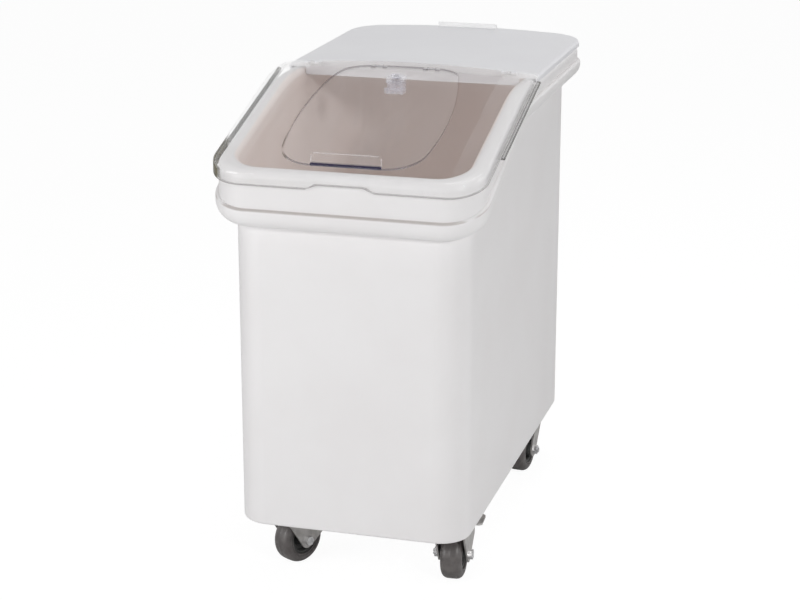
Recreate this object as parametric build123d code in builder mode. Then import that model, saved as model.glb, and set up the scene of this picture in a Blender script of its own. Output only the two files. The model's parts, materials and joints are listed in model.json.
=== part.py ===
from build123d import *
import os
from math import asin, atan2, cos, hypot, pi, radians, sin, sqrt, tan

# Rolling ingredient bin on swivel casters, in millimetres.
# +Z is up, the low front of the bin faces -Y, and the floor is at Z = 0.
os.makedirs("parts", exist_ok=True)

# Tub
tub_width = 338.0
tub_depth = 660.0
tub_corner = 45.0
tub_base_round = 4.0
tub_base = 99.0
wall = 4.0
floor_thickness = 5.0
inside_round = 6.0

# Rim: a rolled collar with a thicker bead under it, rounded back into the wall
collar_out = 21.0
collar_corner = 52.0
bead_out = 26.0
bead_corner = 57.0
bead_height_rear = 29.0
bead_front_flat = 0.5
settle_steps = 12
bead_low_round = 22.0
bead_top_round = 4.0
rim_outer_round = 13.0
rim_inner_round = 10.0
crease_front_drop = 56.0
crease_rear_drop = 33.0
rim_rear_drop = 8.4

# Roof line of the lids: it climbs from the front, bends and runs level to the rear
roof_rear = 711.0
roof_climb = 84.0
level_start = -37.0
bend_radius = 250.0

# Lids
lid_out = 26.0
lid_corner = 50.0
lid_wall = 3.0
lid_gap = 0.6
lid_edge_round = 7.0
lid_crown = 6.5
lid_crown_least = 0.1
skirt_front = 20.0
skirt_hinge = 4.0
front_lid_end = -4.0
side_lip_out = 6.0
side_lip_thickness = 2.5
side_lip_margin = 111.0
side_lip_end = -22.0
notch_width = 66.0
notch_foot_width = 98.0
notch_height = 6.5

rear_lid_start = 0.0
rear_lid_out = 22.0
rear_lid_corner = 46.0
rear_edge_drop = 4.5
rear_edge_round = 5.0
rear_crown_front = 11.5
rear_crown_rear = 7.5
rear_skirt_drop = 13.5
rear_front_drop = 19.0
rim_clearance = 1.0
rest_width = 3.0

# Hinge between the two lids
lid_axis_y = -10.0
lid_axis_rise = 0.5
lid_knuckle_radius = 3.2
lid_knuckle_middle = 150.5
lid_knuckle_width = 8.0
lid_lug_width = 7.0
lid_pin_diameter = 2.6
hinge_side_gap = 0.5
hinge_round_gap = 1.5
running_clearance = 0.06

# Scoop flap in the front lid
flap_front_width = 188.0
flap_middle_width = 216.0
flap_rear_width = 152.0
flap_front_corner = 52.0
flap_rear_corner = 46.0
flap_margin = 28.5
flap_rear = -27.0
flap_gap = 1.6
flap_thickness = 2.6
flap_seat_gap = 0.3
ledge_width = 7.0
ledge_thickness = 2.5
ledge_end = -39.0
flap_axis_y = -30.0
flap_knuckle_radius = 3.0
flap_knuckle_middle = 40.0
flap_knuckle_width = 12.0
flap_lug_width = 5.5
flap_pin_diameter = 2.4
grip_width = 100.0
grip_height = 16.0
grip_thickness = 3.0
grip_corner = 6.0

# Scoop hook under the flap
hook_from_hinge = 48.0
hook_base = 28.0
hook_base_corner = 7.0
hook_base_thickness = 3.0
hook_stud_diameter = 8.0
hook_stud_proud = 1.2
hook_washer_diameter = 18.0
hook_drop = 23.0
hook_reach = 18.0
hook_bar = 4.0
hook_tip = 8.0
hook_width = 28.0
seat_clearance = 0.05

# Lift tab on the rear lid
tab_width = 97.0
tab_inset = 11.0
tab_foot_depth = 12.0
tab_foot_thickness = 2.0
tab_thickness = 3.5
tab_height = 7.0
tab_round = 1.2
tab_seat_gap = 0.2

# Casters
caster_side_inset = 39.0
caster_front_inset = 78.0
caster_rear_inset = 68.0
trail = 36.0
plate_width = 62.0
plate_length = 92.0
plate_corner = 8.0
plate_thickness = 3.0
race_outer = 25.0
race_wall = 2.0
race_depth = 5.4
ball_diameter = 6.0
ball_circle = 34.0
ball_count = 10
kingpin_diameter = 10.0
kingpin_head_diameter = 18.0
kingpin_head_height = 5.0
thrust_gap = 0.2
saddle_length = 50.0
saddle_thickness = 3.0
saddle_corner = 9.0
saddle_shift = 6.0
leg_top_round = 2.0
leg_thickness = 2.5
leg_gap = 40.0
leg_axle_radius = 12.0
wheel_radius = 37.5
tyre_width = 32.0
tyre_round = 10.0
core_radius = 23.0
core_width = 26.0
core_rim = 4.0
web_thickness = 10.0
hub_radius = 11.0
hub_width = 38.0
sleeve_diameter = 13.0
axle_diameter = 8.0
axle_head_flats = 13.0
axle_head_height = 5.5
axle_nut_height = 6.5
axle_tail = 2.0
brake_reach = 38.0
brake_rise = 20.5
brake_pin_diameter = 5.0
brake_barrel_radius = 4.4
brake_barrel_width = 38.0
brake_ear_radius = 7.0
pedal_front = 11.0
pedal_rear = 26.0
pedal_rise = 14.0
pedal_web = 6.0
pedal_width = 72.0
pedal_corner = 6.0
pedal_thickness = 3.0

# Fasteners that hold the caster plates to the tub floor
bolt_diameter = 6.0
bolt_hole_diameter = 6.6
bolt_spacing_x = 40.0
bolt_spacing_y = 68.0
bolt_head_diameter = 12.4
bolt_head_angle = 90.0
bolt_nut_flats = 10.0
bolt_nut_height = 4.6

# How far the blocks that shape the lids run past the bin
arch_side_margin = 6.0
arch_end_margin = 20.0
arch_hinge_margin = 8.0
sky_margin = 60.0

# How far off an edge may lie from where it is looked for
pick_margin = 1.0

# Each caster: name, corner of the bin, angle its wheel trails at, and whether it has a brake
caster_x = tub_width / 2 - caster_side_inset
caster_front_y = caster_front_inset - tub_depth / 2
caster_rear_y = tub_depth / 2 - caster_rear_inset
casters = [
    ("front_left", (-caster_x, caster_front_y), 61.0, True),
    ("front_right", (caster_x, caster_front_y), 94.0, True),
    ("rear_right", (caster_x, caster_rear_y), 265.0, False),
    ("rear_left", (-caster_x, caster_rear_y), 248.0, False),
]

# Sizes that follow from the ones above
rim_front_y = -(tub_depth / 2 + bead_out)
flap_front = rim_front_y + flap_margin
side_lip_front = rim_front_y + side_lip_margin
hook_y = flap_axis_y - hook_from_hinge
tab_y = tub_depth / 2 + rear_lid_out - tab_inset
inside_floor = tub_base + floor_thickness
bolt_head_height = (bolt_head_diameter - bolt_diameter) / 2 / tan(radians(bolt_head_angle / 2))
reach_x = tub_width / 2 + lid_out + arch_side_margin
reach_y = tub_depth / 2 + bead_out + arch_end_margin
lid_half_width = tub_width / 2 + lid_out
lid_inner_corner = lid_corner - lid_wall
roof_front = roof_rear - roof_climb
rim_front = roof_front - lid_wall - lid_gap
rim_rear = roof_rear - rim_rear_drop
crease_front = roof_front - crease_front_drop
crease_rear = roof_rear - crease_rear_drop
rear_lid_edge = roof_rear - rear_edge_drop
rear_skirt_low = roof_rear - rear_skirt_drop
rear_front_low = roof_rear - rear_front_drop
lid_axis_z = roof_rear + lid_axis_rise
sky = roof_rear + sky_margin
rest_out = (rim_inner_round - wall + collar_out - rim_outer_round) / 2
rest_corner = (tub_corner - wall + rim_inner_round + collar_corner - rim_outer_round) / 2
plate_low = tub_base - plate_thickness
fork_top = plate_low - ball_diameter - thrust_gap
leg_outer = leg_gap / 2 + leg_thickness


def keep(block, name):
    """Labels a finished piece and writes it."""
    block.part.label = name
    export_step(block.part, f"parts/{name}.step")


def climb_angle(front_height, rear_height):
    """Slope of the line from the front that meets the bend tangentially, in radians."""
    run = level_start - rim_front_y
    rise = rear_height - bend_radius - front_height
    return atan2(rise, run) + asin(bend_radius / hypot(run, rise))


def height_at(y, front_height, rear_height):
    """Height of a roof-shaped line at a place from front to rear."""
    climb = climb_angle(front_height, rear_height)
    if y <= level_start - bend_radius * sin(climb):
        return front_height + tan(climb) * (y - rim_front_y)
    if y < level_start:
        return rear_height - bend_radius + sqrt(bend_radius**2 - (level_start - y) ** 2)
    return rear_height


def crown_at(y):
    """Rise of the front lid's middle over its sides, which grows from the front to the hinge."""
    return lid_crown_least + lid_crown * ((y - rim_front_y) / (lid_axis_y - rim_front_y)) ** 2


def under_line(front_height, rear_height):
    """Block under a line that climbs from the front, bends and runs level to the rear."""
    climb = climb_angle(front_height, rear_height)
    bend_start = level_start - bend_radius * sin(climb)
    bend_middle = level_start - bend_radius * sin(climb / 2)
    start = (-reach_y, height_at(-reach_y, front_height, rear_height))
    end = (reach_y, rear_height)
    with BuildPart() as block:
        with BuildSketch(Plane.YZ):
            with BuildLine():
                bend = ThreePointArc(
                    (bend_start, height_at(bend_start, front_height, rear_height)),
                    (bend_middle, height_at(bend_middle, front_height, rear_height)),
                    (level_start, rear_height),
                )
                Line(start, bend @ 0)
                Polyline(bend @ 1, end, (reach_y, 0), (-reach_y, 0), start)
            make_face()
        extrude(amount=reach_x, both=True)
    return block.part


def plan_block(out, corner):
    """Upright block over the tub's plan, grown by out on every side."""
    with BuildPart() as block:
        with BuildSketch():
            RectangleRounded(tub_width + 2 * out, tub_depth + 2 * out, corner)
        extrude(amount=sky)
    return block.part


def arch_block(stations):
    """Block under arched sections, each given as its place, side height and rise."""
    with BuildPart() as block:
        for y, side, rise in stations:
            with BuildSketch(Plane.XZ.offset(-y)):
                with BuildLine():
                    ThreePointArc((-reach_x, side), (0, side + rise), (reach_x, side))
                    Polyline((reach_x, side), (reach_x, 0), (-reach_x, 0), (-reach_x, side))
                make_face()
        loft()
    return block.part


def front_roof(drop):
    """Block under the front lid's crowned roof, lowered by drop."""
    bend_start = level_start - bend_radius * sin(climb_angle(roof_front, roof_rear))
    slope = [-reach_y, bend_start]
    bend = [bend_start + (level_start - bend_start) * step / 4 for step in range(5)]
    level = [level_start, front_lid_end + arch_hinge_margin]
    with BuildPart() as block:
        for places in (slope, bend, level):
            add(arch_block([(y, height_at(y, roof_front, roof_rear) - drop, crown_at(y)) for y in places]))
    return block.part


def rear_roof(drop, start=rear_lid_start):
    """Block under the rear lid's crowned roof, lowered by drop, from a start place to the rear."""
    share = (start - rear_lid_start) / (reach_y - rear_lid_start)
    first_rise = rear_crown_front + (rear_crown_rear - rear_crown_front) * share
    side = rear_lid_edge - drop
    return arch_block([(start, side, first_rise), (reach_y, side, rear_crown_rear)])


def around(block, front_height, rear_height, upper):
    """Edges round the outside of a rim band, over or under a line through its middle."""
    edges = block.edges().filter_by(Axis.Z, reverse=True)
    seam_end = tub_depth / 2 - pick_margin
    inner_seam = lambda e: abs(e.center().Y) < seam_end and abs(e.center().X) < pick_margin
    edges = ShapeList(e for e in edges if not inner_seam(e))
    above = lambda e: e.center().Z > height_at(e.center().Y, front_height, rear_height)
    return ShapeList(e for e in edges if above(e) == upper)


def rim_edges(block, outer):
    """Outer or inner edges of the rim's top, which the lids close on."""
    edges = block.edges().filter_by(Axis.Z, reverse=True)
    seam_end = tub_depth / 2 - wall - pick_margin
    seam = lambda e: abs(e.center().Y) < seam_end and abs(e.tangent_at(0.5).X) > 0.99
    on_top = lambda e: abs(e.center().Z - height_at(e.center().Y, rim_front, rim_rear)) < pick_margin
    outside = lambda e: abs(e.center().X) > tub_width / 2 or abs(e.center().Y) > tub_depth / 2
    return ShapeList(e for e in edges if on_top(e) and not seam(e) and outside(e) == outer)


def lid_outline(block):
    """Edges where a lid's roof meets its upright sides."""
    edges = block.edges().filter_by(Axis.Z, reverse=True)
    seam = lambda e: abs(e.center().Y) < tub_depth / 2 and abs(e.center().X) < pick_margin
    return ShapeList(e for e in edges if e.center().Z > tub_base and not seam(e))


def bead_front_height():
    """Height of the bead at the front, where its sharp lower edge needs room for the round."""
    height = bead_height_rear
    for _ in range(settle_steps):
        climb = climb_angle(crease_front - height, crease_rear - bead_height_rear)
        height = bead_low_round / tan(pi / 4 - climb / 2) + bead_top_round + bead_front_flat
    return height


# Bead under the collar
bead_height_front = bead_front_height()
with BuildPart() as bead:
    add(plan_block(bead_out, bead_corner))
    add(under_line(crease_front, crease_rear), mode=Mode.INTERSECT)
    add(under_line(crease_front - bead_height_front, crease_rear - bead_height_rear), mode=Mode.SUBTRACT)
    middle_front = crease_front - bead_height_front / 2
    middle_rear = crease_rear - bead_height_rear / 2
    low_edges = around(bead, middle_front, middle_rear, False)
    fillet(low_edges, bead_low_round)
    top_edges = around(bead, crease_front - bead_top_round, crease_rear - bead_top_round, True)
    fillet(top_edges, bead_top_round)

bolt_points = []
for _, (place_x, place_y), _, _ in casters:
    for side_x in (-bolt_spacing_x / 2, bolt_spacing_x / 2):
        for side_y in (-bolt_spacing_y / 2, bolt_spacing_y / 2):
            bolt_points.append((place_x + side_x, place_y + side_y))

# Tub with its rim
with BuildPart() as bin_body:
    with BuildSketch(Plane.XY.offset(tub_base)):
        RectangleRounded(tub_width, tub_depth, tub_corner)
    extrude(amount=roof_rear - tub_base)
    fillet(bin_body.faces().sort_by(Axis.Z)[0].edges(), tub_base_round)
    add(plan_block(collar_out, collar_corner) - under_line(crease_front - wall, crease_rear - wall))
    add(bead.part)
    add(under_line(rim_front, rim_rear), mode=Mode.INTERSECT)
    with BuildSketch(Plane.XY.offset(inside_floor)):
        RectangleRounded(tub_width - 2 * wall, tub_depth - 2 * wall, tub_corner - wall)
    extrude(amount=sky - tub_base, mode=Mode.SUBTRACT)
    fillet(rim_edges(bin_body, True), rim_outer_round)
    fillet(rim_edges(bin_body, False), rim_inner_round)
    floor_face = bin_body.faces().filter_by(Plane.XY).group_by(Axis.Z)[1]
    fillet(floor_face.edges(), inside_round)
    with Locations(*[(x, y, inside_floor) for x, y in bolt_points]):
        CounterSinkHole(
            bolt_hole_diameter / 2,
            bolt_head_diameter / 2 + seat_clearance,
            floor_thickness,
            bolt_head_angle,
        )
keep(bin_body, "bin_body")

# Bolts through the tub floor, with sunk heads that lie flush inside
with BuildPart() as caster_bolts:
    with BuildSketch(Plane.XY.offset(plate_low - bolt_nut_height)):
        with Locations(*bolt_points):
            Circle(bolt_diameter / 2)
    extrude(amount=bolt_nut_height + plate_thickness + floor_thickness)
    head_align = (Align.CENTER, Align.CENTER, Align.MAX)
    with Locations(*[(x, y, inside_floor) for x, y in bolt_points]):
        Cone(bolt_diameter / 2, bolt_head_diameter / 2, bolt_head_height, align=head_align)
keep(caster_bolts, "caster_bolts")

with BuildPart() as caster_nuts:
    with BuildSketch(Plane.XY.offset(plate_low - bolt_nut_height)):
        with Locations(*bolt_points):
            RegularPolygon(bolt_nut_flats / 2, 6, major_radius=False)
            Circle(bolt_diameter / 2, mode=Mode.SUBTRACT)
    extrude(amount=bolt_nut_height)
keep(caster_nuts, "caster_nuts")

# Rear lid: crowned cover with a skirt over the rim and lugs for the hinge pins
lug_offset = (lid_knuckle_width + lid_lug_width) / 2 + hinge_side_gap
lid_lug_middles = []
for side in (-1, 1):
    lid_lug_middles.append(side * (lid_knuckle_middle - lug_offset))
    lid_lug_middles.append(side * (lid_knuckle_middle + lug_offset))

with BuildPart() as rear_lid_hollow:
    add(plan_block(rear_lid_out - lid_wall, rear_lid_corner - lid_wall))
    add(rear_roof(lid_wall, rear_lid_start + lid_wall), mode=Mode.INTERSECT)
    fillet(lid_outline(rear_lid_hollow), rear_edge_round - lid_wall)

# Rib under the rear lid that rests on the flat top of the rim
with BuildPart() as rest_rib:
    add(plan_block(rest_out + rest_width / 2, rest_corner + rest_width / 2))
    add(plan_block(rest_out - rest_width / 2, rest_corner - rest_width / 2), mode=Mode.SUBTRACT)
    add(rear_roof(lid_wall / 2), mode=Mode.INTERSECT)
    with BuildSketch():
        Rectangle(2 * reach_x, 2 * reach_y)
    extrude(amount=rim_rear + seat_clearance, mode=Mode.SUBTRACT)

with BuildPart() as rear_lid:
    add(plan_block(rear_lid_out, rear_lid_corner))
    add(rear_roof(0), mode=Mode.INTERSECT)
    fillet(lid_outline(rear_lid), rear_edge_round)
    add(rear_lid_hollow.part, mode=Mode.SUBTRACT)
    with BuildSketch():
        Rectangle(2 * reach_x, 2 * reach_y)
    extrude(amount=rear_front_low, mode=Mode.SUBTRACT)
    skirt_start = rear_lid_start + lid_wall
    with BuildSketch():
        with Locations((0, (skirt_start + reach_y) / 2)):
            Rectangle(2 * reach_x, reach_y - skirt_start)
    extrude(amount=rear_skirt_low, mode=Mode.SUBTRACT)
    for side in (-1, 1):
        rim_inner = tub_width / 2 - wall - rim_clearance
        rim_outer = tub_width / 2 + rear_lid_out + rim_clearance
        with BuildSketch(Plane.XZ.offset(-rear_lid_start)):
            with Locations((side * (rim_inner + rim_outer) / 2, rim_rear / 2)):
                Rectangle(rim_outer - rim_inner, rim_rear + 2 * rim_clearance)
        extrude(amount=-lid_wall, mode=Mode.SUBTRACT)
    add(rest_rib.part)
    for middle in lid_lug_middles:
        with BuildSketch(Plane.YZ.offset(middle)):
            with Locations((lid_axis_y, lid_axis_z)):
                Circle(lid_knuckle_radius)
            with Locations(((lid_axis_y + lid_wall) / 2, lid_axis_z - lid_knuckle_radius / 2)):
                Rectangle(lid_wall - lid_axis_y, lid_knuckle_radius)
            with Locations((lid_axis_y, lid_axis_z)):
                Circle(lid_pin_diameter / 2 + running_clearance, mode=Mode.SUBTRACT)
        extrude(amount=lid_lug_width / 2, both=True)
keep(rear_lid, "rear_lid")

# Hinge pins of the front lid
pin_length = lid_knuckle_width + 2 * (lid_lug_width + hinge_side_gap)
with BuildPart() as lid_hinge_pins:
    for side in (-1, 1):
        with BuildSketch(Plane.YZ.offset(side * lid_knuckle_middle)):
            with Locations((lid_axis_y, lid_axis_z)):
                Circle(lid_pin_diameter / 2)
        extrude(amount=pin_length / 2, both=True)
keep(lid_hinge_pins, "lid_hinge_pins")

# Lift tab that stands on the rear edge of the rear lid
with BuildPart() as lift_tab:
    with BuildSketch():
        with Locations((0, tab_y)):
            Rectangle(tab_width, tab_foot_depth)
    extrude(amount=sky)
    add(rear_roof(-tab_foot_thickness), mode=Mode.INTERSECT)
    with BuildSketch(Plane.XY.offset(rear_lid_edge)):
        with Locations((0, tab_y)):
            Rectangle(tab_width, tab_thickness)
    extrude(amount=rear_crown_rear + tab_height)
    fillet(lift_tab.faces().sort_by(Axis.Z)[-1].edges(), tab_round)
    add(rear_roof(-tab_seat_gap), mode=Mode.SUBTRACT)
keep(lift_tab, "lift_tab")


def skirt_low(y):
    """Height of the front lid's skirt edge, a straight line from the front to the hinge."""
    front = roof_front - skirt_front
    end = roof_rear - skirt_hinge
    return front + (end - front) * (y - rim_front_y) / (front_lid_end - rim_front_y)


def flap_plan(grow):
    """Upright block over the flap's outline, grown by a gap on every side."""
    middle_y = (flap_front + flap_rear) / 2
    with BuildPart() as block:
        with BuildSketch() as outline:
            with BuildLine():
                sides = []
                for side in (-1, 1):
                    rear_end = (side * flap_rear_width / 2, flap_rear)
                    side_middle = (side * flap_middle_width / 2, middle_y)
                    front_end = (side * flap_front_width / 2, flap_front)
                    sides.append(ThreePointArc(rear_end, side_middle, front_end))
                Line(sides[0] @ 0, sides[1] @ 0)
                Line(sides[0] @ 1, sides[1] @ 1)
            make_face()
            fillet(outline.vertices().group_by(Axis.Y)[0], flap_front_corner)
            fillet(outline.vertices().group_by(Axis.Y)[-1], flap_rear_corner)
            if grow:
                offset(amount=grow)
        extrude(amount=sky)
    return block.part


roof = front_roof(0)
roof_inside = front_roof(lid_wall)
flap_seat = front_roof(flap_thickness + flap_seat_gap)
ledge_low = front_roof(flap_thickness + flap_seat_gap + ledge_thickness)
flap_under = front_roof(flap_thickness)
roof_middle = front_roof(lid_wall / 2)

# The ledge stops short of the hinge, so that the flap's rear edge can turn down
with BuildPart() as hinge_space:
    with BuildSketch():
        with Locations((0, (ledge_end + reach_y) / 2)):
            Rectangle(2 * reach_x, reach_y - ledge_end)
    extrude(amount=sky)
behind_ledge = hinge_space.part

flap_axis_x = flap_knuckle_middle
flap_axis_rise = crown_at(flap_axis_y) * (1 - (flap_axis_x / reach_x) ** 2)
flap_axis_z = height_at(flap_axis_y, roof_front, roof_rear) + flap_axis_rise - flap_thickness / 2
flap_lug_offset = (flap_knuckle_width + flap_lug_width) / 2 + hinge_side_gap
flap_lug_middles = []
for side in (-1, 1):
    flap_lug_middles.append(side * (flap_knuckle_middle - flap_lug_offset))
    flap_lug_middles.append(side * (flap_knuckle_middle + flap_lug_offset))

# Front lid: clear panel with a skirt, a finger notch, side lips and a ledge that carries the flap
with BuildPart() as front_lid_hollow:
    add(plan_block(lid_out - lid_wall, lid_inner_corner) & roof_inside)
    fillet(lid_outline(front_lid_hollow), lid_edge_round - lid_wall)

with BuildPart() as front_lid:
    add(plan_block(lid_out, lid_corner) & roof)
    fillet(lid_outline(front_lid), lid_edge_round)
    add(front_lid_hollow.part, mode=Mode.SUBTRACT)
    add((flap_plan(lid_wall) & roof_middle) - ledge_low - behind_ledge)
    add(flap_plan(flap_gap) - flap_seat, mode=Mode.SUBTRACT)
    add(flap_plan(-ledge_width), mode=Mode.SUBTRACT)
    add(flap_plan(flap_gap) & behind_ledge, mode=Mode.SUBTRACT)
    with BuildSketch(Plane.YZ):
        with BuildLine():
            Polyline(
                (-reach_y, 0),
                (-reach_y, skirt_low(-reach_y)),
                (front_lid_end, skirt_low(front_lid_end)),
                (front_lid_end, sky),
                (reach_y, sky),
                (reach_y, 0),
                close=True,
            )
        make_face()
    extrude(amount=reach_x, both=True, mode=Mode.SUBTRACT)
    notch_low = skirt_low(rim_front_y)
    with BuildSketch(Plane.XZ.offset(-rim_front_y)):
        with BuildLine():
            Polyline(
                (-notch_foot_width / 2, notch_low - notch_height),
                (-notch_foot_width / 2, notch_low),
                (-notch_width / 2, notch_low + notch_height),
                (notch_width / 2, notch_low + notch_height),
                (notch_foot_width / 2, notch_low),
                (notch_foot_width / 2, notch_low - notch_height),
                close=True,
            )
        make_face()
    extrude(amount=-2 * lid_wall, mode=Mode.SUBTRACT)
    for side in (-1, 1):
        with BuildSketch(Plane.YZ.offset(side * (lid_half_width - lid_wall / 2))):
            with BuildLine():
                Polyline(
                    (side_lip_front, skirt_low(side_lip_front)),
                    (side_lip_end, skirt_low(side_lip_end)),
                    (side_lip_end, skirt_low(side_lip_end) + side_lip_thickness),
                    (side_lip_front, skirt_low(side_lip_front) + side_lip_thickness),
                    close=True,
                )
            make_face()
        extrude(amount=side * (side_lip_out + lid_wall / 2))
    knuckle_space = lid_knuckle_width + 2 * (lid_lug_width + 2 * hinge_side_gap)
    space_front = lid_axis_y - lid_knuckle_radius - hinge_round_gap
    space_rear = front_lid_end + hinge_side_gap
    for side in (-1, 1):
        with BuildSketch():
            with Locations((side * lid_knuckle_middle, (space_front + space_rear) / 2)):
                Rectangle(knuckle_space, space_rear - space_front)
        extrude(amount=sky, mode=Mode.SUBTRACT)
        with BuildSketch(Plane.YZ.offset(side * lid_knuckle_middle)):
            with Locations((lid_axis_y, lid_axis_z)):
                Circle(lid_knuckle_radius)
            arm_length = 2 * (lid_knuckle_radius + hinge_round_gap)
            with Locations((lid_axis_y - arm_length / 2, lid_axis_z)):
                Rectangle(arm_length, lid_wall)
            with Locations((lid_axis_y, lid_axis_z)):
                Circle(lid_pin_diameter / 2 + running_clearance, mode=Mode.SUBTRACT)
        extrude(amount=lid_knuckle_width / 2, both=True)
    for middle in flap_lug_middles:
        with BuildSketch(Plane.YZ.offset(middle)):
            with Locations((flap_axis_y, flap_axis_z)):
                Circle(flap_knuckle_radius)
            lug_length = flap_rear + flap_gap + lid_wall - flap_axis_y
            with Locations((flap_axis_y + lug_length / 2, flap_axis_z)):
                Rectangle(lug_length, flap_thickness)
            with Locations((flap_axis_y, flap_axis_z)):
                Circle(flap_pin_diameter / 2 + running_clearance, mode=Mode.SUBTRACT)
        extrude(amount=flap_lug_width / 2, both=True)
keep(front_lid, "front_lid")

# Hinge pins of the flap
flap_pin_length = flap_knuckle_width + 2 * (flap_lug_width + hinge_side_gap)
with BuildPart() as flap_hinge_pins:
    for side in (-1, 1):
        with BuildSketch(Plane.YZ.offset(side * flap_knuckle_middle)):
            with Locations((flap_axis_y, flap_axis_z)):
                Circle(flap_pin_diameter / 2)
        extrude(amount=flap_pin_length / 2, both=True)
keep(flap_hinge_pins, "flap_hinge_pins")

# Scoop flap with an upright grip on its free edge
with BuildPart() as scoop_flap:
    add((flap_plan(0) & roof) - flap_under)
    flap_knuckle_space = flap_knuckle_width + 2 * (flap_lug_width + 2 * hinge_side_gap)
    for side in (-1, 1):
        with BuildSketch():
            with Locations((side * flap_knuckle_middle, flap_axis_y)):
                Rectangle(flap_knuckle_space, 2 * (flap_knuckle_radius + flap_gap))
        extrude(amount=sky, mode=Mode.SUBTRACT)
        with BuildSketch(Plane.YZ.offset(side * flap_knuckle_middle)):
            with Locations((flap_axis_y, flap_axis_z)):
                Circle(flap_knuckle_radius)
            flap_arm = 2 * (flap_knuckle_radius + flap_gap)
            with Locations((flap_axis_y - flap_arm / 2, flap_axis_z)):
                Rectangle(flap_arm, flap_thickness)
            with Locations((flap_axis_y, flap_axis_z)):
                Circle(flap_pin_diameter / 2 + running_clearance, mode=Mode.SUBTRACT)
        extrude(amount=flap_knuckle_width / 2, both=True)
    grip_front = flap_front + flap_gap
    grip_root = flap_thickness / 4
    grip_foot = height_at(grip_front, roof_front, roof_rear) - grip_root
    grip_tall = grip_height + grip_root
    with BuildSketch(Plane.XZ.offset(-grip_front)) as grip_face:
        with Locations((0, grip_foot + grip_tall / 2)):
            Rectangle(grip_width, grip_tall)
        fillet(grip_face.vertices().group_by(Axis.Y)[-1], grip_corner)
    extrude(amount=-grip_thickness)
    with BuildSketch():
        with Locations((0, hook_y)):
            Circle(hook_stud_diameter / 2 + seat_clearance)
    extrude(amount=sky, mode=Mode.SUBTRACT)
keep(scoop_flap, "scoop_flap")

# Scoop hook: a base plate under the flap, a stud through it and a hooked bar below
hook_top = front_roof(flap_thickness + seat_clearance)
hook_base_low = front_roof(flap_thickness + seat_clearance + hook_base_thickness)
hook_surface = height_at(hook_y, roof_front, roof_rear) + crown_at(hook_y)
hook_bar_top = hook_surface - flap_thickness - hook_base_thickness
hook_foot = hook_surface - hook_drop
with BuildPart() as hook_stud:
    with BuildSketch():
        with Locations((0, hook_y)):
            Circle(hook_stud_diameter / 2)
    extrude(amount=sky)
    add(front_roof(-hook_stud_proud), mode=Mode.INTERSECT)
    add(hook_base_low, mode=Mode.SUBTRACT)

with BuildPart() as scoop_hook:
    with BuildSketch():
        with Locations((0, hook_y)):
            RectangleRounded(hook_base, hook_base, hook_base_corner)
    extrude(amount=sky)
    add(hook_top, mode=Mode.INTERSECT)
    add(hook_base_low, mode=Mode.SUBTRACT)
    add(hook_stud.part)
    with BuildSketch(Plane.YZ):
        with BuildLine():
            Polyline(
                (hook_y + hook_bar / 2, hook_bar_top + hook_base_thickness / 2),
                (hook_y + hook_bar / 2, hook_foot),
                (hook_y + hook_bar / 2 - hook_reach, hook_foot),
                (hook_y + hook_bar / 2 - hook_reach, hook_foot + hook_tip),
                (hook_y - hook_reach + 1.5 * hook_bar, hook_foot + hook_tip),
                (hook_y - hook_reach + 1.5 * hook_bar, hook_foot + hook_bar),
                (hook_y - hook_bar / 2, hook_foot + hook_bar),
                (hook_y - hook_bar / 2, hook_bar_top + hook_base_thickness / 2),
                close=True,
            )
        make_face()
    extrude(amount=hook_width / 2, both=True)
keep(scoop_hook, "scoop_hook")

with BuildPart() as hook_washer:
    with BuildSketch():
        with Locations((0, hook_y)):
            Circle(hook_washer_diameter / 2)
            Circle(hook_stud_diameter / 2 + seat_clearance, mode=Mode.SUBTRACT)
    extrude(amount=sky)
    add(front_roof(-hook_stud_proud), mode=Mode.INTERSECT)
    add(front_roof(-seat_clearance), mode=Mode.SUBTRACT)
keep(hook_washer, "hook_washer")


def side_plane(frame, offset):
    """Upright plane across a caster's axle, with its x along the trail and its y up."""
    return Plane(frame.from_local_coords((0, offset, 0)), x_dir=frame.x_dir, z_dir=-frame.y_dir)


def axle_plane(frame):
    """Upright plane through a caster's axle, with its x along the axle and its y up."""
    centre = frame.from_local_coords((trail, 0, wheel_radius))
    return Plane(centre, x_dir=frame.y_dir, z_dir=frame.x_dir)


brake_x = trail + brake_reach
brake_z = wheel_radius + brake_rise


def caster_plate(name, place):
    """Top plate that bolts to the tub, with the outer wall of the ball race under it."""
    with BuildPart() as plate:
        with BuildSketch(Plane.XY.offset(plate_low)):
            with Locations(place):
                RectangleRounded(plate_width, plate_length, plate_corner)
                Circle(kingpin_diameter / 2, mode=Mode.SUBTRACT)
                with GridLocations(bolt_spacing_x, bolt_spacing_y, 2, 2):
                    Circle(bolt_hole_diameter / 2, mode=Mode.SUBTRACT)
        extrude(amount=plate_thickness)
        with BuildSketch(Plane.XY.offset(plate_low)):
            with Locations(place):
                Circle(race_outer)
                Circle(race_outer - race_wall, mode=Mode.SUBTRACT)
        extrude(amount=-race_depth)
    keep(plate, f"caster_plate_{name}")


def kingpin(name, place):
    """Rivet that the fork turns on, with its head under the fork."""
    head_top = fork_top - saddle_thickness - thrust_gap
    with BuildPart() as pin:
        with BuildSketch(Plane.XY.offset(head_top)):
            with Locations(place):
                Circle(kingpin_diameter / 2)
        extrude(amount=tub_base - head_top)
        with BuildSketch(Plane.XY.offset(head_top)):
            with Locations(place):
                Circle(kingpin_head_diameter / 2)
        extrude(amount=-kingpin_head_height)
        fillet(pin.faces().sort_by(Axis.Z)[0].edges(), kingpin_head_height / 2)
    keep(pin, f"kingpin_{name}")


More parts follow.
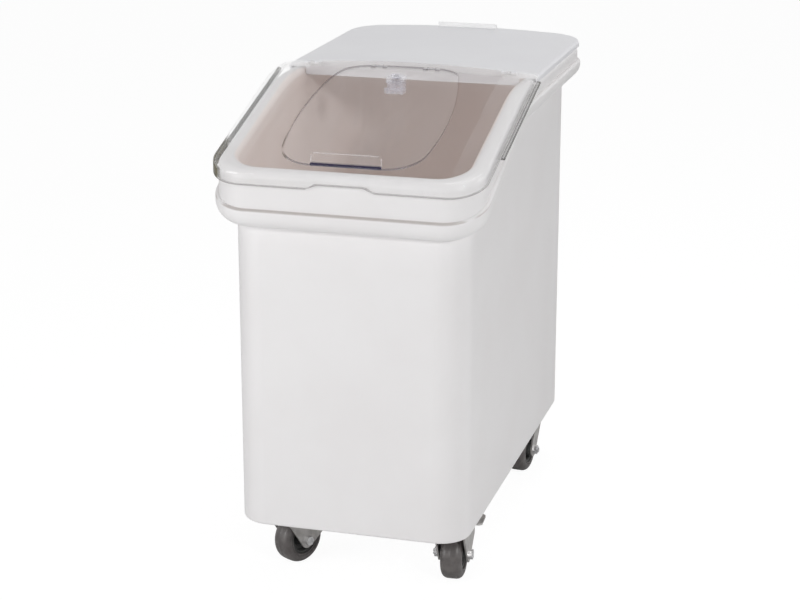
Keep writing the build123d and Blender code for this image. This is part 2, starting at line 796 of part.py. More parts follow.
def swivel_balls(name, place):
    """Ring of balls between the plate and the fork."""
    with BuildPart() as balls:
        with Locations((*place, fork_top + thrust_gap / 2 + ball_diameter / 2)):
            with PolarLocations(ball_circle / 2, ball_count):
                Sphere(ball_diameter / 2)
    keep(balls, f"swivel_balls_{name}")


def fork(name, frame, braked):
    """Bent fork: a saddle on the kingpin and two legs that trail down to the axle."""
    flat_side = saddle_length / 2 - saddle_corner - leg_top_round
    with BuildPart() as yoke:
        with BuildSketch(frame.offset(fork_top)):
            with Locations((saddle_shift, 0)):
                RectangleRounded(saddle_length, 2 * leg_outer, saddle_corner)
            Circle(kingpin_diameter / 2 + running_clearance, mode=Mode.SUBTRACT)
        extrude(amount=-saddle_thickness)
        for offset in (-leg_gap / 2, leg_outer):
            with BuildSketch(side_plane(frame, offset)):
                with BuildLine():
                    CenterArc((trail, wheel_radius), leg_axle_radius, 0, 360)
                    for corner in (saddle_shift - flat_side, saddle_shift + flat_side):
                        CenterArc((corner, fork_top - saddle_thickness), leg_top_round, 0, 360)
                make_hull()
                if braked:
                    with BuildLine():
                        ear_root = leg_axle_radius / 2
                        CenterArc((brake_x, brake_z), brake_ear_radius, 0, 360)
                        CenterArc((trail - leg_axle_radius, fork_top - leg_axle_radius), ear_root, 0, 360)
                        CenterArc((trail, wheel_radius + ear_root), ear_root, 0, 360)
                    make_hull()
                with Locations((trail, wheel_radius)):
                    Circle(axle_diameter / 2 + seat_clearance, mode=Mode.SUBTRACT)
                if braked:
                    with Locations((brake_x, brake_z)):
                        Circle(brake_pin_diameter / 2 + seat_clearance, mode=Mode.SUBTRACT)
            extrude(amount=leg_thickness)
    keep(yoke, f"fork_{name}")


def axle_set(name, frame):
    """Axle bolt, its nut, and the sleeve that holds the legs apart and carries the wheel."""
    turned = axle_plane(frame)
    sleeve_plane = Plane(turned.origin, x_dir=frame.x_dir, z_dir=frame.y_dir)
    with BuildPart() as sleeve:
        with BuildSketch(sleeve_plane):
            Circle(sleeve_diameter / 2)
            Circle(axle_diameter / 2 + seat_clearance, mode=Mode.SUBTRACT)
        extrude(amount=leg_gap / 2, both=True)
    keep(sleeve, f"axle_sleeve_{name}")
    shank = 2 * leg_outer + axle_nut_height + axle_tail
    with BuildPart() as bolt:
        with BuildSketch(sleeve_plane.offset(-leg_outer)):
            Circle(axle_diameter / 2)
        extrude(amount=shank)
        with BuildSketch(sleeve_plane.offset(-leg_outer)):
            RegularPolygon(axle_head_flats / 2, 6, major_radius=False)
        extrude(amount=-axle_head_height)
    keep(bolt, f"axle_bolt_{name}")
    with BuildPart() as nut:
        with BuildSketch(sleeve_plane.offset(leg_outer)):
            RegularPolygon(axle_head_flats / 2, 6, major_radius=False)
            Circle(axle_diameter / 2, mode=Mode.SUBTRACT)
        extrude(amount=axle_nut_height)
    keep(nut, f"axle_nut_{name}")


def wheel(name, frame):
    """Wheel core with a hub, web and rim, and the tyre moulded round it."""
    section = axle_plane(frame)
    spin_axis = Axis(section.origin, frame.y_dir)
    bore = sleeve_diameter / 2 + running_clearance
    with BuildPart() as core:
        with BuildSketch(section):
            with Locations((0, (bore + hub_radius) / 2)):
                Rectangle(hub_width, hub_radius - bore)
            with Locations((0, (bore + core_radius) / 2)):
                Rectangle(web_thickness, core_radius - bore)
            with Locations((0, core_radius - core_rim / 2)):
                Rectangle(core_width, core_rim)
        revolve(axis=spin_axis)
    keep(core, f"wheel_core_{name}")
    with BuildPart() as tyre:
        with BuildSketch(section) as tread:
            with Locations((0, (core_radius + seat_clearance + wheel_radius) / 2)):
                Rectangle(tyre_width, wheel_radius - core_radius - seat_clearance)
            fillet(tread.vertices().sort_by(Axis.Y)[-2:], tyre_round)
        revolve(axis=spin_axis)
    keep(tyre, f"tyre_{name}")


def brake(name, frame):
    """Brake pedal behind the wheel and the pin it turns on."""
    pivot = frame.from_local_coords((brake_x, 0, brake_z))
    pin_plane = Plane(pivot, x_dir=frame.x_dir, z_dir=frame.y_dir)
    with BuildPart() as pin:
        with BuildSketch(pin_plane):
            Circle(brake_pin_diameter / 2)
        extrude(amount=leg_outer, both=True)
    keep(pin, f"brake_pin_{name}")
    with BuildPart() as pedal:
        with BuildSketch(side_plane(frame, 0)):
            with Locations((brake_x, brake_z)):
                Circle(brake_barrel_radius)
        extrude(amount=brake_barrel_width / 2, both=True)
        with BuildSketch(side_plane(frame, 0)):
            with Locations((brake_x, brake_z + pedal_rise / 2)):
                Rectangle(pedal_web, pedal_rise)
        extrude(amount=brake_barrel_width / 2, both=True)
        with BuildSketch(frame.offset(brake_z + pedal_rise)):
            with Locations((brake_x + (pedal_rear - pedal_front) / 2, 0)):
                RectangleRounded(pedal_front + pedal_rear, pedal_width, pedal_corner)
        extrude(amount=pedal_thickness)
        with BuildSketch(side_plane(frame, 0)):
            with Locations((brake_x, brake_z)):
                Circle(brake_pin_diameter / 2 + running_clearance)
        extrude(amount=pedal_width, both=True, mode=Mode.SUBTRACT)
    keep(pedal, f"brake_pedal_{name}")


for caster_name, corner_place, trail_angle, has_brake in casters:
    heading = (cos(radians(trail_angle)), sin(radians(trail_angle)), 0)
    caster_frame = Plane((*corner_place, 0), x_dir=heading, z_dir=(0, 0, 1))
    caster_plate(caster_name, corner_place)
    kingpin(caster_name, corner_place)
    swivel_balls(caster_name, corner_place)
    fork(caster_name, caster_frame, has_brake)
    axle_set(caster_name, caster_frame)
    wheel(caster_name, caster_frame)
    if has_brake:
        brake(caster_name, caster_frame)
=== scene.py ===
import json
from math import cos, pi, radians, sin

import bmesh
import bpy
from mathutils import Matrix, Vector


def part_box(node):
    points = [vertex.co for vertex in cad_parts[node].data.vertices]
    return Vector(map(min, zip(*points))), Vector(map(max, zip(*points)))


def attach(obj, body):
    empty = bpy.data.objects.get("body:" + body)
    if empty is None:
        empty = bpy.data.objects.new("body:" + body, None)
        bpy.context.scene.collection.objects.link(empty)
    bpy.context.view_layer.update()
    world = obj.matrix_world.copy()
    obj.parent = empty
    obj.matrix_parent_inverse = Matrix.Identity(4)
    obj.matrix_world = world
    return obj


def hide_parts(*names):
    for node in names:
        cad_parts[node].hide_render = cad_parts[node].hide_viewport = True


# Looks of the rolling ingredient bin, in metres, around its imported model
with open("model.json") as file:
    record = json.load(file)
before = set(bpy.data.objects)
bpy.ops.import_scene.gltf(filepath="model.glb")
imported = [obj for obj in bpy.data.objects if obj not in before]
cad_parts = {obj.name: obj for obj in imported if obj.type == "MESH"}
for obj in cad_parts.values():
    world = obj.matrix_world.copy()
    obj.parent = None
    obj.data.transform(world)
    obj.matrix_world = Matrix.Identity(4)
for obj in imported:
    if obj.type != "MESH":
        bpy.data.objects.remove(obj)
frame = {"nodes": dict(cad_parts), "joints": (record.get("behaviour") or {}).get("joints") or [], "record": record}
nodes = frame["nodes"]
joints = {joint["name"]: joint for joint in frame["joints"]}
slots = {entry["node"]: entry["material_slot"] for entry in frame["record"]["subparts"]}
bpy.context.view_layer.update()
tub_low, tub_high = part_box("bin_body")
lid_low, lid_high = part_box("front_lid")
flap_front_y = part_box("scoop_flap")[0].y

# Camera: turn and rise round the bin, its focal length in pixels, and its aim
image_width = 800
camera_turn = radians(15.96)
camera_rise = radians(17.19)
camera_distance = 3.1952
camera_focal_px = 2085.95
camera_aim = Vector((0, 0, 0.350))
camera_shift_right = -0.0164
sensor_width = 36.0

# Studio: where the lamps aim, the dim light all round, and a floor that the camera sees nearly white
lamp_aim = Vector((0, 0, 0.4))
ambient = 0.22
floor_reach = 6.0
floor_glow = 1.08
floor_glow_share = 0.87

# Tub: its overhanging rim, its wall and its floor
rim_overhang = 0.026
tub_wall = 0.004
inside_floor = 0.104
floor_band = 0.012
floor_ease = 0.001
inside_half_width = tub_high.x - rim_overhang - tub_wall
inside_half_depth = tub_high.y - rim_overhang - tub_wall

# Crease round the tub's collar: it climbs to a bend and then runs level; a painted shade line follows it, dark
# only at the front
collar_half_width = 0.187
collar_ease = 0.007
collar_longer_by = 0.16
crease_front = 0.571
crease_rear = 0.678
crease_bend_y = -0.037
crease_shade_width = 0.0016
crease_shade_full_y = -0.33
crease_shade_faint_y = -0.27
bend_ease = 0.016

# Front lid: a crowned roof that climbs from the front edge to a bend and levels off towards the hinge
front_edge_y = lid_low.y
hinge_edge_y = lid_high.y
lid_axis_y = joints["front_lid_hinge"]["pos_m"][1]
lid_wall = 0.003
roof_front = 0.627
roof_at_bend = 0.6995
roof_bend_y = -0.112
roof_level = 0.711
roof_half_width = lid_high.x
roof_crown = 0.0066
crown_at_bend = 0.0034
crown_start_y = front_edge_y - 0.030
# Band near the hinge that gets a painted highlight
hinge_highlight_start_y = -0.052
hinge_highlight_full_y = -0.036

# Skirt of the front lid, with its finger notch, its side lips and the painted shade lines along its edges
skirt_end = 0.707
skirt_line = 0.0014
skirt_line_core = 0.0006
skirt_line_gap = 0.010
notch_half_foot = 0.049
notch_half_top = 0.033
notch_height = 0.0065
notch_depth = 0.008
notch_ease = 0.004
lip_root = 0.1955
lip_ease = 0.0004
lip_inner_line = 0.0016
lip_outer_line = 0.0018
# Left corner of the skirt, which gets painted shade
shaded_corner_y = -0.27
shaded_corner_ease = 0.03
left_ease = 0.02

# Ledge under the front lid's roof that carries the flap
ledge_drop = 0.0016
ledge_half_width = 0.145
ledge_front_y = -0.340
ledge_ease = 0.005
surface_ease = 0.0002

# Upright grip on the flap's free edge, with painted highlight lines along its edges, and the painted shade line at
# its foot
grip_half = 0.050
grip_height = 0.016
grip_depth = 0.0054
grip_start = 0.0010
grip_line = 0.0010
grip_top_line = 0.0012
foot_depth = 0.0026
foot_height = 0.0016
grip_ease = 0.0008
foot_ease = 0.0010

# Wheels, which stand on the floor: the tyre's radii and half width, its side groove and its mould line
casters = ("front_left", "front_right", "rear_right", "rear_left")
wheel_radius = joints["roll_front_left"]["pos_m"][2]
tyre_half = 0.016
tyre_round = 0.0098
tyre_inner = 0.02305
bead_chamfer = 0.0006
groove_inner = 0.0250
groove_outer = 0.0262
groove_depth = 0.0009
groove_slope = 0.0003
mould_line_half = 0.0006
mould_line_height = 0.0002

# Wheel core: radii, half widths, and the roundings of its corners
core_radius = 0.023
core_half = 0.013
core_rim = 0.019
rim_draft = 0.0004
web_half = 0.005
hub_half = 0.019
hub_radius = 0.011
hub_draft = 0.0012
hub_bore = 0.00656
bore_round = 0.0004
web_round = 0.0012
lip_round = 0.0010
seat_round = 0.0005


class Value:
    """A shader socket; arithmetic on it adds Math nodes."""

    def __init__(self, shading, socket):
        self.shading = shading
        self.socket = socket

    def math(self, operation, *others):
        inputs = dict(enumerate((self, *others)))
        return self.shading.node("ShaderNodeMath", {"operation": operation}, inputs)

    def __add__(self, other):
        return self.math("ADD", other)

    def __sub__(self, other):
        return self.math("SUBTRACT", other)

    def __mul__(self, other):
        return self.math("MULTIPLY", other)

    def __rsub__(self, other):
        return self.shading.node("ShaderNodeMath", {"operation": "SUBTRACT"}, {0: other, 1: self})

    def __abs__(self):
        return self.math("ABSOLUTE")

    __radd__ = __add__
    __rmul__ = __mul__

    def most(self, other):
        return self.math("MAXIMUM", other)

    def ramp(self, low, high):
        """0 at low and 1 at high, eased between them; low may be the larger."""
        inputs = {"Value": self, "From Min": low, "From Max": high}
        return self.shading.node("ShaderNodeMapRange", {"interpolation_type": "SMOOTHSTEP"}, inputs)

    def between(self, low, high, ease):
        """1 from low to high, eased out over a short way past both."""
        return self.ramp(low - ease, low) * self.ramp(high + ease, high)


class Shading:
    """A node tree and the one way to add nodes to it."""

    def __init__(self, tree):
        self.tree = tree

    def node(self, kind, settings=None, inputs=None, output=0):
        """Adds a node, makes its settings, feeds its sockets and gives one of its outputs."""
        made = self.tree.nodes.new(kind)
        for name, value in (settings or {}).items():
            setattr(made, name, value)
        for name, value in (inputs or {}).items():
            self.feed(made.inputs[name], value)
        return Value(self, made.outputs[output])

    def feed(self, socket, value):
        """Links a value to a socket, or sets a number, a vector or a colour on it."""
        if isinstance(value, Value):
            self.tree.links.new(value.socket, socket)
        elif socket.type == "RGBA" and len(value) == 3:
            socket.default_value = (*value, 1)
        else:
            socket.default_value = value

    def ray(self, kind):
        """1 for rays of one kind, such as Camera, and 0 for all others."""
        return self.node("ShaderNodeLightPath", output=f"Is {kind} Ray")


class Finish(Shading):
    """One material: a node tree round a Principled shader."""

    def __init__(self, name, **sockets):
        self.material = bpy.data.materials.new(name)
        self.material.use_nodes = True
        super().__init__(self.material.node_tree)
        self.shader = self.tree.nodes["Principled BSDF"]
        self.body = Value(self, self.shader.outputs[0])
        self.set(**sockets)

    def set(self, **sockets):
        """Feeds sockets of the Principled shader, such as base_color."""
        for name, value in sockets.items():
            self.feed(self.shader.inputs[name.replace("_", " ").title()], value)

    def show(self, shader):
        self.feed(self.tree.nodes["Material Output"].inputs["Surface"], shader)

    def axes(self, output="Object", names="XYZ"):
        """X, Y and Z of the place on the piece, or of its normal."""
        vector = self.node("ShaderNodeTexCoord", output=output)
        return [self.node("ShaderNodeSeparateXYZ", None, {0: vector}, axis) for axis in names]

    def noise(self, scale, detail=4.0, roughness=0.55, stretch=(1, 1, 1)):
        place = self.node("ShaderNodeTexCoord", output="Object")
        vector = self.node("ShaderNodeMapping", None, {"Vector": place, "Scale": stretch})
        inputs = {"Vector": vector, "Scale": scale, "Detail": detail, "Roughness": roughness}
        return self.node("ShaderNodeTexNoise", None, inputs)

    def mix(self, share, first, second):
        inputs = {0: share, 6: first, 7: second}
        return self.node("ShaderNodeMix", {"data_type": "RGBA"}, inputs, 2)

    def facing(self):
        """0 where a face looks at the viewer, 1 where it is seen edge-on."""
        return self.node("ShaderNodeLayerWeight", None, {"Blend": 0.5}, "Facing")

    def bump(self, height, depth):
        self.set(normal=self.node("ShaderNodeBump", None, {"Height": height, "Distance": depth}))


def slope_line(y, front, rear, front_y, rear_y):
    """Height of a straight line from the front to the rear, at a place from front to rear."""
    return front + (y - front_y) * ((rear - front) / (rear_y - front_y))


def upright_faces(normal_z):
    """1 on upright faces, 0 on level and sloping ones."""
    return abs(normal_z).ramp(0.60, 0.30)


def tub_plastic():
    """Satin white moulding with a painted shade line in the crease over the bead.

    Inside it has a painted warm shade and a painted glow, which stand in for the light that comes through its thin
    wall.
    """
    finish = Finish("white_tub")
    x, y, z = finish.axes()
    normal_x, normal_y, normal_z = finish.axes("Normal")

    # Outer colour, and a painted warm shade for inner faces: inner walls face the middle of the tub, and the
    # floor's top faces up
    mottle = finish.noise(6.0, detail=3.0).ramp(0.3, 0.7)
    blotch = finish.noise(9.0, detail=2.0).ramp(0.25, 0.75)
    outside = finish.mix(mottle, (0.855, 0.842, 0.845), (0.835, 0.818, 0.820))
    inside_warm_shade = finish.mix(blotch, (0.88, 0.815, 0.785), (0.85, 0.77, 0.735))
    outward = normal_x * x * (1 / inside_half_width) + normal_y * y * (1 / inside_half_depth)
    near_floor = z.between(inside_floor - floor_ease, inside_floor + floor_band, floor_ease)
    within = outward.ramp(-0.10, -0.65).most(near_floor * normal_z.ramp(0.2, 0.6))
    colour = finish.mix(within, outside, inside_warm_shade)
    # Painted glow on inner faces, standing in for the light that comes through the thin wall
    glow = finish.mix(blotch, (1.0, 0.87, 0.82), (0.90, 0.77, 0.72))
    finish.set(emission_color=finish.mix(within, (0, 0, 0), glow), emission_strength=0.055)

    # Painted shade line in the crease, and the satin surface
    climb = slope_line(y, crease_front, crease_rear, tub_low.y, crease_bend_y)
    crease = climb.math("SMOOTH_MIN", crease_rear, bend_ease)
    reach = abs(x).most(abs(y) - collar_longer_by)
    on_collar = reach.ramp(collar_half_width - collar_ease, collar_half_width)
    crease_shade_strength = 0.12 + 0.88 * y.ramp(crease_shade_faint_y, crease_shade_full_y)
    line = abs(z - crease).ramp(crease_shade_width, 0) * on_collar * crease_shade_strength
    finish.set(base_color=finish.mix(line * 0.60, colour, (0.42, 0.36, 0.33)))
    finish.set(roughness=0.36 + 0.10 * (finish.noise(38.0) - 0.5))
    finish.bump(finish.noise(620.0, detail=2.0) + 0.6 * finish.noise(60.0, detail=2.0), depth=0.00008)
    return finish.material


def lid_plastic(name, light, shade, roughness):
    """Satin white moulding with a faint mottle and orange peel."""
    finish = Finish(name)
    mottle = finish.noise(7.0, detail=3.0)
    finish.set(base_color=finish.mix(mottle.ramp(0.3, 0.7), light, shade))
    finish.set(roughness=roughness + 0.08 * (finish.noise(45.0) - 0.5))
    finish.bump(finish.noise(650.0, detail=2.0), depth=0.00006)
    return finish.material


def faint_streaks(finish):
    """How much of clear plastic shows: next to nothing, a little more in long streaks."""
    streak = finish.noise(26.0, detail=3.0, roughness=0.6, stretch=(1, 0.25, 0.4)).ramp(0.42, 0.72)
    return 0.018 + 0.022 * streak


def glaze(finish, alpha, colour, gloss, face_on=0.04):
    """Shows a painted, partly see-through body under a clear glossy face."""
    finish.set(base_color=colour, alpha=alpha)
    mirror = finish.node("ShaderNodeBsdfGlossy", None, {"Color": (1, 1, 1), "Roughness": 0.04})
    edge_on = finish.facing().math("POWER", 5.0)
    share = (face_on + (1 - face_on) * edge_on) * gloss
    finish.show(finish.node("ShaderNodeMixShader", None, {0: share, 1: finish.body, 2: mirror}))


def roof_height(x, y):
    """Height of the front lid's crowned roof."""
    climb = slope_line(y, roof_front, roof_at_bend, front_edge_y, roof_bend_y)
    run = (y - front_edge_y) * (1 / (lid_axis_y - front_edge_y))
    slope_crown = slope_line(y, 0, crown_at_bend, crown_start_y, roof_bend_y)
    across = x * (1 / roof_half_width)
    crown = slope_crown.most(roof_crown * run * run) * (1 - across * across)
    return climb.math("SMOOTH_MIN", roof_level, bend_ease) + crown


def clear_lid():
    """Clear moulding, with a painted highlight near the hinge and painted shade lines along its lips, skirt edge
    and outline.
    """
    finish = Finish("clear_lid", roughness=0.12)
    x, y, z = finish.axes()
    normal_y, normal_z = finish.axes("Normal", "YZ")
    facing = finish.facing()
    upright = upright_faces(normal_z)
    # Painted shade is strongest on the left side
    left = x.ramp(left_ease, -left_ease)

    # Painted shade line along the skirt's lower edge, which rises over the finger notch
    skirt_z = slope_line(y, lid_low.z, skirt_end, front_edge_y, hinge_edge_y)
    at_front = y.ramp(front_edge_y + notch_depth + notch_ease, front_edge_y + notch_depth)
    notch = abs(x).ramp(notch_half_foot, notch_half_top) * at_front * notch_height
    before_hinge = y.ramp(lid_axis_y - skirt_line_gap, lid_axis_y - 2 * skirt_line_gap)
    skirt_edge_shade = (z - skirt_z - notch).ramp(skirt_line, skirt_line_core) * before_hinge

    # Lips, painted dark with shade that is strongest on the left, with a painted shade line along each of their
    # sides and across their ends
    shaded_lip = abs(x).ramp(lip_root, lip_root + lip_ease)
    inner = abs(x).ramp(lip_root + lip_inner_line, lip_root + lip_inner_line / 2)
    outer = abs(x).ramp(lid_high.x - lip_outer_line, lid_high.x - lip_outer_line / 2)
    lip_shade_line = shaded_lip * inner.most(outer).most(normal_y.ramp(-0.5, -0.8))

    # Painted shade on the left corner and on the outline seen edge-on, the flap's ledge, which hardly shows, and a
    # painted highlight near the hinge
    at_corner = y.ramp(shaded_corner_y + shaded_corner_ease, shaded_corner_y)
    corner = facing.ramp(0.40, 0.62) * upright * left * at_corner
    # Painted shade where the clear moulding is seen edge-on
    outline = facing.ramp(0.84, 0.97)
    under_roof = roof_height(x, y) - z
    ledge_top = under_roof.ramp(ledge_drop - surface_ease, ledge_drop + surface_ease)
    ledge = under_roof.ramp(lid_wall - surface_ease / 2, lid_wall + surface_ease)
    ledge = ledge.most(ledge_top * normal_z.ramp(0.5, 0.7))
    ledge = ledge * abs(x).ramp(ledge_half_width + ledge_ease, ledge_half_width)
    shown = 1 - ledge * y.ramp(ledge_front_y - ledge_ease, ledge_front_y)
    hinge_highlight = y.ramp(hinge_highlight_start_y, hinge_highlight_full_y) * (1 - upright)

    # Colours, with the painted shade and the painted highlight, and how much of them shows
    corner_shade_swirl = finish.noise(150.0, detail=4.0, roughness=0.7).ramp(0.40, 0.62)
    colour = finish.mix(hinge_highlight, (0.93, 0.93, 0.95), (0.95, 0.93, 0.93))
    colour = finish.mix(skirt_edge_shade, colour, (0.26, 0.23, 0.23))
    colour = finish.mix(outline, colour, (0.16, 0.15, 0.12))
    colour = finish.mix(corner, colour, finish.mix(corner_shade_swirl, (0.045, 0.038, 0.014), (0.16, 0.14, 0.075)))
    colour = finish.mix(shaded_lip, colour, (0.12, 0.117, 0.108))
    colour = finish.mix(lip_shade_line, colour, (0.035, 0.033, 0.025))
    alpha = faint_streaks(finish) + 0.20 * hinge_highlight
    alpha = alpha.most(skirt_edge_shade * 0.40).most(outline * (0.12 + 0.33 * left)).most(corner * 0.94)
    alpha = alpha.most(shaded_lip * (0.06 + 0.82 * left)).most(lip_shade_line * (0.62 + 0.36 * left))
    # Painted shade, where the real gloss is turned down
    painted_shade = corner.most(lip_shade_line).most(shaded_lip * left)
    glaze(finish, alpha * shown, colour, gloss=(0.55 - 0.50 * painted_shade) * shown)
    return finish.material


def clear_flap():
    """Clear moulding with painted shade on its cut edges, painted highlight lines on the pale grip and a navy
    painted shade line at the grip's foot.
    """
    finish = Finish("clear_flap", roughness=0.12)
    x, y, z = finish.axes()
    (normal_z,) = finish.axes("Normal", "Z")
    # Upright cut edges get painted shade
    shaded_cut_edge = upright_faces(normal_z)
    back = y - flap_front_y
    over_roof = z - slope_line(y, roof_front, roof_at_bend, front_edge_y, roof_bend_y)
    across = abs(x).ramp(grip_half + foot_ease, grip_half)
    near = back.ramp(grip_depth + grip_ease, grip_depth)
    grip = across * near * over_roof.ramp(grip_start, grip_start + grip_ease)
    grip_top = over_roof.ramp(grip_height - grip_top_line, grip_height - grip_top_line / 2)
    grip_highlight_edge = grip * abs(x).ramp(grip_half - grip_line, grip_half - grip_line / 2).most(grip_top)
    at_front = back.ramp(foot_depth + foot_ease, foot_depth)
    # Navy painted shade line at the grip's foot
    foot = across * at_front * over_roof.ramp(foot_height + grip_ease, foot_height)
    colour = finish.mix(shaded_cut_edge, (0.93, 0.93, 0.95), (0.11, 0.085, 0.12))
    colour = finish.mix(grip, colour, (0.90, 0.88, 0.88))
    colour = finish.mix(foot, colour, (0.012, 0.008, 0.055))
    alpha = faint_streaks(finish)
    alpha = alpha.most(shaded_cut_edge * 0.62 * (1 - grip)).most(grip_highlight_edge * 0.35).most(foot * 0.95)
    glaze(finish, alpha, colour, gloss=0.55 - 0.50 * grip.most(foot))
    return finish.material


def hook_plastic():
    """Thick clear moulding, a little violet, with painted shade in its outlines where it is seen edge-on."""
    finish = Finish("clear_hook", roughness=0.1)
    swirl = finish.noise(130.0, detail=3.0).ramp(0.35, 0.65)
    # Painted shade where the moulding is seen edge-on
    rim = finish.facing().ramp(0.72, 0.95)
    colour = finish.mix(swirl, (0.58, 0.56, 0.66), (0.86, 0.85, 0.94))
    colour = finish.mix(rim, colour, (0.16, 0.14, 0.22))
    glaze(finish, (0.22 + 0.22 * swirl).most(rim * 0.5), colour, gloss=1.0)
    return finish.material


def plated_metal(name, colour, roughness, grain_scale, dullness=0.74):
    """Plated steel: a cloudy sheen with fine pits."""
    finish = Finish(name, metallic=1.0)
    cloud = finish.noise(90.0, detail=5.0)
    dull = [channel * dullness for channel in colour]
    finish.set(base_color=finish.mix(cloud.ramp(0.35, 0.68), colour, dull))
    finish.set(roughness=roughness + 0.22 * (cloud - 0.5))
    finish.bump(finish.noise(grain_scale, detail=3.0), depth=0.00007)
    return finish.material


def dark_plastic(name, colour, worn, roughness, grain_scale):
    """Dark rubber or plastic with a dusty bloom."""
    finish = Finish(name)
    bloom = finish.noise(55.0, detail=5.0, roughness=0.62).ramp(0.38, 0.72)
    finish.set(base_color=finish.mix(bloom, colour, worn))
    finish.set(roughness=roughness + 0.12 * (bloom - 0.5))
    finish.bump(finish.noise(grain_scale, detail=3.0), depth=0.00012)
    return finish.material


clear_hook = hook_plastic()
looks = {
    "white_plastic": tub_plastic(),
    "lid_plastic": lid_plastic(
        "white_lid", light=(0.835, 0.835, 0.862), shade=(0.815, 0.812, 0.842), roughness=0.34,
    ),
    "tab_plastic": lid_plastic(
        "white_tab", light=(0.95, 0.95, 0.95), shade=(0.93, 0.93, 0.93), roughness=0.30,
    ),
    "clear_plastic": clear_lid(),
    "clear_plastic_pins": lid_plastic(
        "natural_nylon", light=(0.80, 0.80, 0.82), shade=(0.76, 0.76, 0.78), roughness=0.30,
    ),
    "zinc_steel": plated_metal("zinc_plate", (0.56, 0.545, 0.53), roughness=0.40, grain_scale=900.0),
    "bright_steel": plated_metal("bright_plate", (0.80, 0.80, 0.81), roughness=0.24, grain_scale=1400.0),
    "wheel_plastic": dark_plastic(
        "wheel_core", (0.045, 0.047, 0.045), worn=(0.078, 0.080, 0.076), roughness=0.40, grain_scale=500.0,
    ),
    "tyre_rubber": dark_plastic(
        "grey_rubber", (0.092, 0.083, 0.081), worn=(0.140, 0.128, 0.124), roughness=0.36, grain_scale=700.0,
    ),
}
own_looks = {"scoop_flap": clear_flap(), "scoop_hook": clear_hook, "hook_washer": clear_hook}
for node_name, slot_name in slots.items():
    mesh = nodes[node_name].data
    mesh.materials.clear()
    mesh.materials.append(own_looks.get(node_name, looks[slot_name]))


def add_piece(shape, name, stands_for, body):
    """Makes a mesh object of a shape, which takes a solid's place and finish and rides on its body."""
    bmesh.ops.remove_doubles(shape, verts=shape.verts, dist=1e-6)
    bmesh.ops.recalc_face_normals(shape, faces=shape.faces)
    mesh = bpy.data.meshes.new(name)
    shape.to_mesh(mesh)
    shape.free()
    mesh.materials.append(looks[slots[stands_for]])
    mesh.shade_smooth()
    mesh.set_sharp_from_angle(angle=radians(32))
    piece = bpy.data.objects.new(name, mesh)
    bpy.context.scene.collection.objects.link(piece)
    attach(piece, body)
    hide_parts(stands_for)


def axle_frame(caster):
    """Frame at a caster's axle: Z along the axle, X up."""
    joint = joints[f"roll_{caster}"]
    axle = Vector(joint["axis"])
    up = Vector((0, 0, 1))
    turn = Matrix((up, axle.cross(up), axle)).transposed()
    return Matrix.Translation(Vector(joint["pos_m"])) @ turn.to_4x4()


def mirrored(side):
    """The corners of the wheel's other side, in the order that closes an outline."""
    return [(-along, out, rounding) for along, out, rounding in reversed(side)]


def turned(outline, place, steps):
    """Ring turned round the axle from a closed outline.

    Each corner says how far it is along the axle and out from it, and its rounding.
    """
    shape = bmesh.new()
    corners = [shape.verts.new((out, 0, along)) for along, out, rounding in outline]
    for first, second in zip(corners, corners[1:] + corners[:1]):
        shape.edges.new((first, second))
    for corner, (along, out, rounding) in zip(corners, outline):
        if rounding:
            bmesh.ops.bevel(
                shape, geom=[corner], offset=rounding, offset_type="OFFSET", segments=6,
                profile=0.5, affect="VERTICES", material=-1,
            )
    bmesh.ops.spin(
        shape, geom=list(shape.edges), cent=(0, 0, 0), axis=(0, 0, 1), angle=2 * pi,
        steps=steps, use_merge=True,
    )
    bmesh.ops.transform(shape, matrix=place, verts=shape.verts)
    return shape


def tyre(caster):
    """Tyre with round shoulders, a groove in each side and the mould's line round its tread."""
    tread = wheel_radius - mould_line_height
    groove_bottom = tyre_half - groove_depth
    side = [
        (tyre_half - bead_chamfer, tyre_inner, 0),
        (tyre_half, tyre_inner + bead_chamfer, 0),
        (tyre_half, groove_inner, 0),
        (groove_bottom, groove_inner + groove_slope, 0),
        (groove_bottom, groove_outer - groove_slope, 0),
        (tyre_half, groove_outer, 0),
        (tyre_half, tread, tyre_round),
    ]
    mould_line = [(mould_line_half, tread, 0), (0, wheel_radius, 0), (-mould_line_half, tread, 0)]
    shape = turned(side + mould_line + mirrored(side), axle_frame(caster), steps=128)
    add_piece(shape, f"tyre_tread_{caster}", f"tyre_{caster}", f"wheel_{caster}")


def wheel_core(caster):
    """Wheel core with a rounded hub, a thin web and a lipped rim."""
    side = [
        (hub_half, hub_bore, bore_round),
        (hub_half, hub_radius, web_round),
        (web_half, hub_radius + hub_draft, web_round),
        (web_half, core_rim, web_round),
        (core_half, core_rim + rim_draft, lip_round),
        (core_half, core_radius, seat_round),
    ]
    shape = turned(side + mirrored(side), axle_frame(caster), steps=96)
    add_piece(shape, f"wheel_disc_{caster}", f"wheel_core_{caster}", f"wheel_{caster}")


for caster in casters:
    tyre(caster)
    wheel_core(caster)


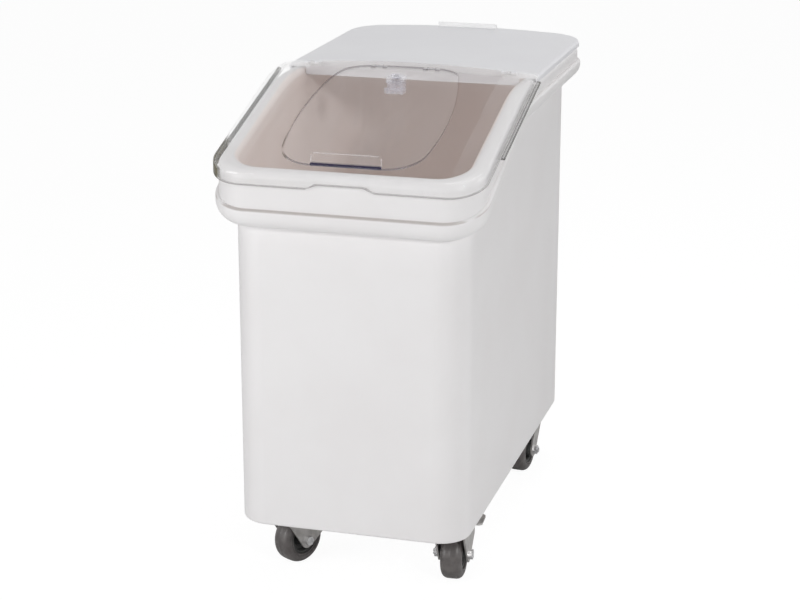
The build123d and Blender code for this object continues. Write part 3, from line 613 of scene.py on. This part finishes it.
def add_camera():
    """Camera that looks along its turn and rise, aimed at the bin and set a little to the side."""
    back = Vector((
        sin(camera_turn) * cos(camera_rise),
        -cos(camera_turn) * cos(camera_rise),
        sin(camera_rise),
    ))
    right = Vector((cos(camera_turn), sin(camera_turn), 0))
    up = back.cross(right)
    eye = camera_aim + back * camera_distance + right * camera_shift_right
    data = bpy.data.cameras.new("camera")
    data.sensor_width = sensor_width
    data.lens = camera_focal_px * sensor_width / image_width
    camera = bpy.data.objects.new("camera", data)
    axes = Matrix((right, up, back)).transposed()
    camera.matrix_world = Matrix.Translation(eye) @ axes.to_4x4()
    bpy.context.scene.collection.objects.link(camera)
    bpy.context.scene.camera = camera


def add_lamp(name, place, size, watts):
    """Round soft lamp that faces the bin."""
    data = bpy.data.lights.new(name, "AREA")
    data.shape = "DISK"
    data.size = size
    data.energy = watts
    lamp = bpy.data.objects.new(name, data)
    lamp.location = place
    lamp.rotation_euler = (lamp_aim - Vector(place)).to_track_quat("-Z", "Y").to_euler()
    bpy.context.scene.collection.objects.link(lamp)


def add_floor():
    """Pale floor that the camera sees nearly white, with the bin's shadow left on it."""
    shape = bmesh.new()
    bmesh.ops.create_grid(shape, x_segments=1, y_segments=1, size=floor_reach)
    mesh = bpy.data.meshes.new("floor")
    shape.to_mesh(mesh)
    shape.free()
    floor = bpy.data.objects.new("floor", mesh)
    bpy.context.scene.collection.objects.link(floor)
    finish = Finish("floor_paint", base_color=(0.9, 0.9, 0.9), roughness=0.9)
    glow = finish.node("ShaderNodeEmission", None, {"Color": (1, 1, 1), "Strength": floor_glow})
    share = finish.ray("Camera") * floor_glow_share
    finish.show(finish.node("ShaderNodeMixShader", None, {0: share, 1: finish.body, 2: glow}))
    mesh.materials.append(finish.material)


def set_world():
    """Surroundings that look white, also in reflections and through clear pieces, but shed a dim light."""
    world = bpy.data.worlds.new("studio")
    world.use_nodes = True
    bpy.context.scene.world = world
    shading = Shading(world.node_tree)
    seen = shading.ray("Camera").most(shading.ray("Glossy")).most(shading.ray("Transmission"))
    strength = shading.node("ShaderNodeMapRange", None, {"Value": seen, "To Min": ambient, "To Max": 1.0})
    sky = world.node_tree.nodes["Background"]
    shading.feed(sky.inputs["Color"], (1, 1, 1))
    shading.feed(sky.inputs["Strength"], strength)


add_camera()
add_floor()
set_world()
add_lamp("key", (2.65, -2.65, 1.9), size=0.4, watts=38)
add_lamp("left", (-1.6, -2.2, 1.1), size=1.6, watts=30)
add_lamp("top", (0.3, 0.4, 3.2), size=1.6, watts=19)
add_lamp("right", (3.4, 0.4, 1.4), size=1.6, watts=21)
bpy.context.scene.view_settings.view_transform = "Standard"
